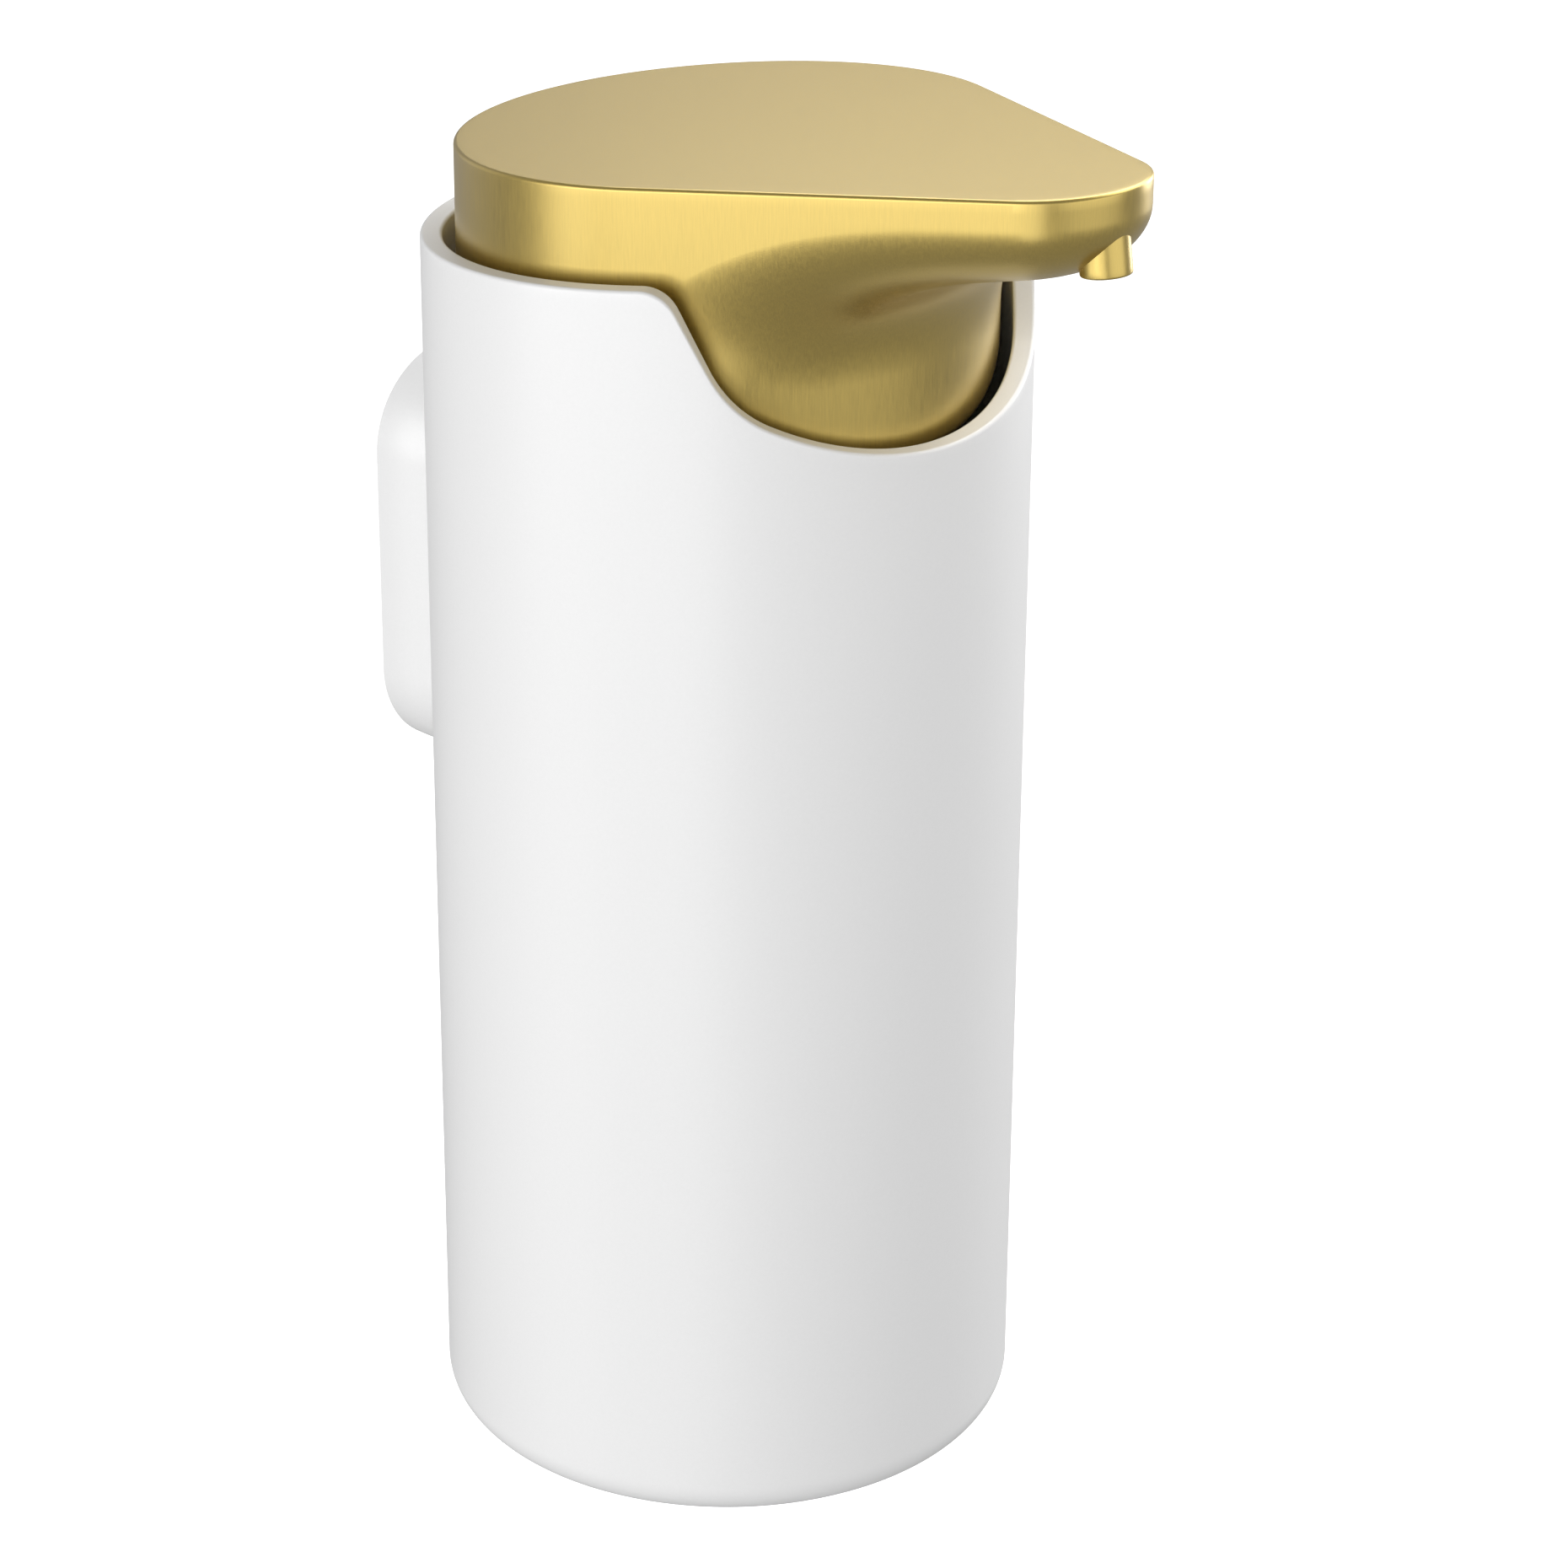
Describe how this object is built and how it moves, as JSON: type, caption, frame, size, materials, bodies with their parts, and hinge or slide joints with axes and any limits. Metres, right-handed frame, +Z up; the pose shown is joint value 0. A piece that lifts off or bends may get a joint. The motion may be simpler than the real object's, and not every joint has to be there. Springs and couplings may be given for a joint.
{
  "type": "wall mounted soap dispenser",
  "caption": "Wall mounted soap dispenser: a round cup on a wall bracket, a lift-out bottle, and a sprung pump under a teardrop head with a short downward nozzle.",
  "frame": {"origin": "centre of the wall plate's flat back face, which lies on the wall", "axes": "+Y into the wall, -Y the way the spout points, +Z up along the cup's axis, +X to the right of someone facing the wall"},
  "size_m": [0.07, 0.104, 0.168],
  "materials": {
    "white_coat": "matt powder coat",
    "brushed_gold": "brushed satin",
    "steel": "satin",
    "natural_plastic": "satin natural plastic",
    "black_plastic": "satin moulded",
    "rubber": "matt"
  },
  "bodies": {
    "wall": {"wall_plate": "steel"},
    "holder": {"wall_bracket": "white_coat", "lock_screw": "steel", "cup_screw_lower": "steel", "cup_screw_upper": "steel", "cup": "white_coat", "bottle_pad": "rubber"},
    "refill": {"bottle": "natural_plastic", "closure_collar": "black_plastic", "neck_gasket": "rubber", "pump_housing": "natural_plastic", "barrel_cap": "black_plastic", "ball_cage": "natural_plastic", "dip_tube": "natural_plastic", "return_spring": "steel"},
    "valve_ball": {"inlet_ball": "steel"},
    "pump_head": {"head_shell": "brushed_gold", "nozzle": "brushed_gold", "soap_channel": "natural_plastic", "spout_grommet": "rubber", "head_core": "black_plastic", "core_screw_1": "steel", "core_screw_2": "steel", "core_screw_3": "steel", "pump_stem": "natural_plastic", "piston": "black_plastic", "piston_seal": "rubber"}
  },
  "joints": [
    {"name": "cup_lift_off", "type": "slide", "parent": "wall", "child": "holder", "axis": [0, 0, 1], "range_m": [0, 0.006]},
    {"name": "refill_lift", "type": "slide", "parent": "holder", "child": "refill", "axis": [0, 0, 1], "range_m": [0, 0.16]},
    {"name": "head_press", "type": "slide", "parent": "refill", "child": "pump_head", "axis": [0, 0, -1], "range_m": [0, 0.01], "stiffness_N_per_m": 500, "springref_m": -0.012, "deforming": ["return_spring"]},
    {"name": "valve_ball_lift", "type": "slide", "parent": "refill", "child": "valve_ball", "axis": [0, 0, 1], "range_m": [0, 0.0015]}
  ]
}
